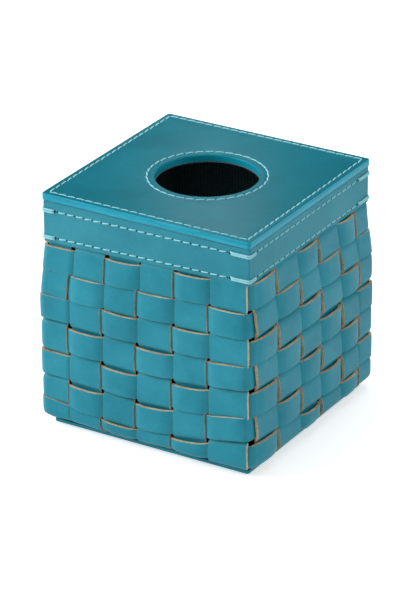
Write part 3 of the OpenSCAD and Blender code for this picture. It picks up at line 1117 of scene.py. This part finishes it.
def lid_ring(kind, size):
    """A ring of the lid: a square by its inset from the edge, a circle by its radius."""
    if kind == "square":
        return square_ring(LID - size, max(LID_CORNER_R - size, LID_CORNER_MIN))
    return [Vector((p.x, p.y, 0)).normalized() * size for p in square_ring(LID, LID_CORNER_R)]


def lid_sheet(name, node, profile, materials):
    """A holed square sheet of rings, one for each (kind, size, z, look) of a closed profile.

    A blend's size is a square's inset, a circle's radius and the share of the way between them.
    """
    points, looks = [], []
    for kind, size, z, look in profile:
        if kind == "blend":
            inset, radius, share = size
            outer, inner = lid_ring("square", inset), lid_ring("circle", radius)
            ring = [a.lerp(b, share) for a, b in zip(outer, inner)]
        else:
            ring = lid_ring(kind, size)
        points += [(p.x, p.y, z) for p in ring]
        looks += [look] * len(ring)
    faces = ring_faces(len(profile), len(ring), closed=True)
    piece = link_piece(name, points, faces, materials, looks, 50)
    settle(piece, "lid", node)


def lid_leather_sheet():
    """The lid's top sheet with painted edges and a groove under each stitch line."""
    top, low = LID_TOP, LEATHER_Z
    # The lid's outer edge and the edge of its hole, as (distance from it, distance down, look)
    outer = ((0.0, 0.55, CUT), (0.12, 0.24, CUT), (0.34, 0.07, FACE), (0.75, 0.0, FACE))
    inner = ((1.0, 0.0, FACE), (0.5, 0.06, FACE), (0.15, 0.25, CUT), (0.0, 0.6, CUT))
    profile = [("square", 0.25 * MM, low, CUT), ("square", 0.0, low + 0.2 * MM, CUT)]
    profile += [("square", inset * MM, top - down * MM, look) for inset, down, look in outer]
    profile += [("square", EDGE_INSET + offset, top - dip, FACE) for offset, dip in GROOVE_SHAPE]
    inset, radius = EDGE_INSET + GROOVE_HALF, HOLE_LINE + GROOVE_HALF
    for share in (0.12, 0.3, 0.5, 0.7, 0.88):
        profile.append(("blend", (inset, radius, share), top, FACE))
    for offset, dip in reversed(GROOVE_SHAPE):
        profile.append(("circle", HOLE_LINE + offset, top - dip, FACE))
    for reach, down, look in inner:
        profile.append(("circle", HOLE_R + reach * MM, top - down * MM, look))
    profile.append(("circle", HOLE_R, low, CUT))
    lid_sheet("lid_cover", "lid_leather", profile, (LID_LEATHER, EDGE_PAINT))


def lid_board_sheet():
    """The board under the leather, painted all over, with eased edges."""
    low, top = (end.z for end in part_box("lid_board"))
    profile = [
        ("square", 1.2, low, 0.0), ("square", 0.35, low, 0.06), ("square", 0.08, low, 0.28),
        ("square", 0.0, low, 0.6), ("square", 0.0, top, -0.22), ("square", 0.12, top, -0.02),
        ("square", 1.0, top, 0.0), ("circle", 0.6, top, 0.0), ("circle", 0.0, top, -0.1),
        ("circle", 0.0, low, 0.4), ("circle", 0.3, low, 0.0),
    ]
    rings = []
    for kind, size, z, rise in profile:
        size = size * MM + (HOLE_R if kind == "circle" else 0.0)
        rings.append((kind, size, z + rise * MM, FACE))
    lid_sheet("lid_core", "lid_board", rings, (EDGE_PAINT,))


def lid_edge_stitches():
    """The stitch line along the lid's four edges."""
    threads = Threads()
    line = LID - EDGE_INSET
    threads.runs(-line, line, (-line, LID_TOP), (0, 0, 1), LID_STITCH_SHARE, 600)
    threads.piece("lid_edge_thread", "lid", "lid_edge_stitch")


def lid_hole_stitches():
    """The ring of stitches round the hole."""
    threads = Threads()
    count = round(2 * pi * HOLE_LINE / STITCH_PITCH)
    up = Vector((0, 0, 1))
    places = []
    for out in wheel(Vector((0, -1, 0)), Vector((1, 0, 0)), 2 * count):
        place = out * HOLE_LINE + up * (LID_TOP - STITCH_SINK)
        places.append((place, up.cross(out), up))
    threads.sew(places, 2 * pi * HOLE_LINE / count * LID_STITCH_SHARE, 900)
    threads.piece("lid_hole_thread", "lid", "lid_hole_stitch")


lid_leather_sheet()
lid_board_sheet()
lid_edge_stitches()
lid_hole_stitches()


def dress(names, material):
    """Gives CAD nodes that stay as they are their finished material."""
    for name in names:
        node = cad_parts[name]
        if not node.material_slots:
            node.data.materials.append(material)
        for slot in node.material_slots:
            slot.material = material


dress(["base_pad"], FELT)
dress(["base_board", "rim_frame"], BASE_PAINT)
# The walls are near-black, as painted shade where they show through the weave
dress(["floor_panel", *(f"wall_{side}" for side in SIDES)], SHADE_BLACK_BOARD)
dress(["lid_locating_frame"], TEAL_BOARD)
dress(["lid_lining", "lining_floor", *(f"lining_{side}" for side in SIDES)], LINING)


def make_floor():
    """A white floor that glows for the camera and in reflections."""
    s = Shader("studio_floor")
    rays = s.node("LightPath").outputs
    seen = s.math("MAXIMUM", rays["Is Camera Ray"], rays["Is Glossy Ray"])
    glow = s.math("MULTIPLY", seen, FLOOR_GLOW)
    more = {"Emission Color": (1, 1, 1, 1), "Emission Strength": glow}
    material = s.finish(FLOOR_COLOUR, 0.9, None, 0.1, more)
    corners = [turned((-FLOOR_HALF, -FLOOR_HALF, -FLOOR_GAP), face) for face in range(4)]
    mesh = bpy.data.meshes.new("studio_floor")
    mesh.from_pydata(corners, [], [(0, 1, 2, 3)])
    mesh.materials.append(material)
    link_object("studio_floor", mesh)


def make_world():
    """A world that is white for the camera and gives the object less light."""
    s = Shader("studio", world=True)
    seen = s.node("LightPath").outputs["Is Camera Ray"]
    strength = s.spread(seen, WORLD_LIGHT, 1.0)
    s.feed(s.nodes["Background"], {"Color": (1, 1, 1, 1), "Strength": strength})
    bpy.context.scene.world = s.owner


def soft_lamp(name, place, aim, size, power):
    """A rectangular lamp that looks at a point."""
    data = bpy.data.lights.new(name, "AREA")
    data.shape = "RECTANGLE"
    data.size, data.size_y = size
    data.energy = power
    lamp = link_object(name, data)
    lamp.location = place
    lamp.rotation_mode = "QUATERNION"
    lamp.rotation_quaternion = (Vector(aim) - Vector(place)).to_track_quat("-Z", "Y")


def swung(first, second, degrees):
    """Two directions at a right angle, turned together in their plane."""
    angle = radians(degrees)
    return (
        first * cos(angle) + second * sin(angle),
        second * cos(angle) - first * sin(angle),
    )


def make_camera():
    """The photograph's camera: focal length in its pixels, distance, and angles in degrees."""
    focal_px, long_side_px, distance = 3450.0, 610.0, 2.191
    azimuth, elevation, roll, pan, tilt = 31.32, 25.26, -0.40, -0.054, -0.232
    target = Vector((0, 0, 0.08))
    a, e = radians(azimuth), radians(elevation)
    back = Vector((sin(a) * cos(e), -cos(a) * cos(e), sin(e)))
    right = Vector((cos(a), sin(a), 0))
    up = back.cross(right)
    place = target + back * distance
    right, back = swung(right, back, pan)
    up, back = swung(up, back, tilt)
    right, up = swung(right, up, roll)
    data = bpy.data.cameras.new("photo_camera")
    data.sensor_width = 36.0
    data.lens = focal_px * data.sensor_width / long_side_px
    data.clip_start, data.clip_end = 0.05, 20
    camera = link_object("photo_camera", data)
    camera.matrix_world = Matrix((*zip(right, up, back, place), (0, 0, 0, 1)))
    bpy.context.scene.camera = camera


make_floor()
make_world()
for lamp in LAMPS:
    soft_lamp(*lamp)
make_camera()

scene = bpy.context.scene
scene.view_settings.view_transform = "Standard"
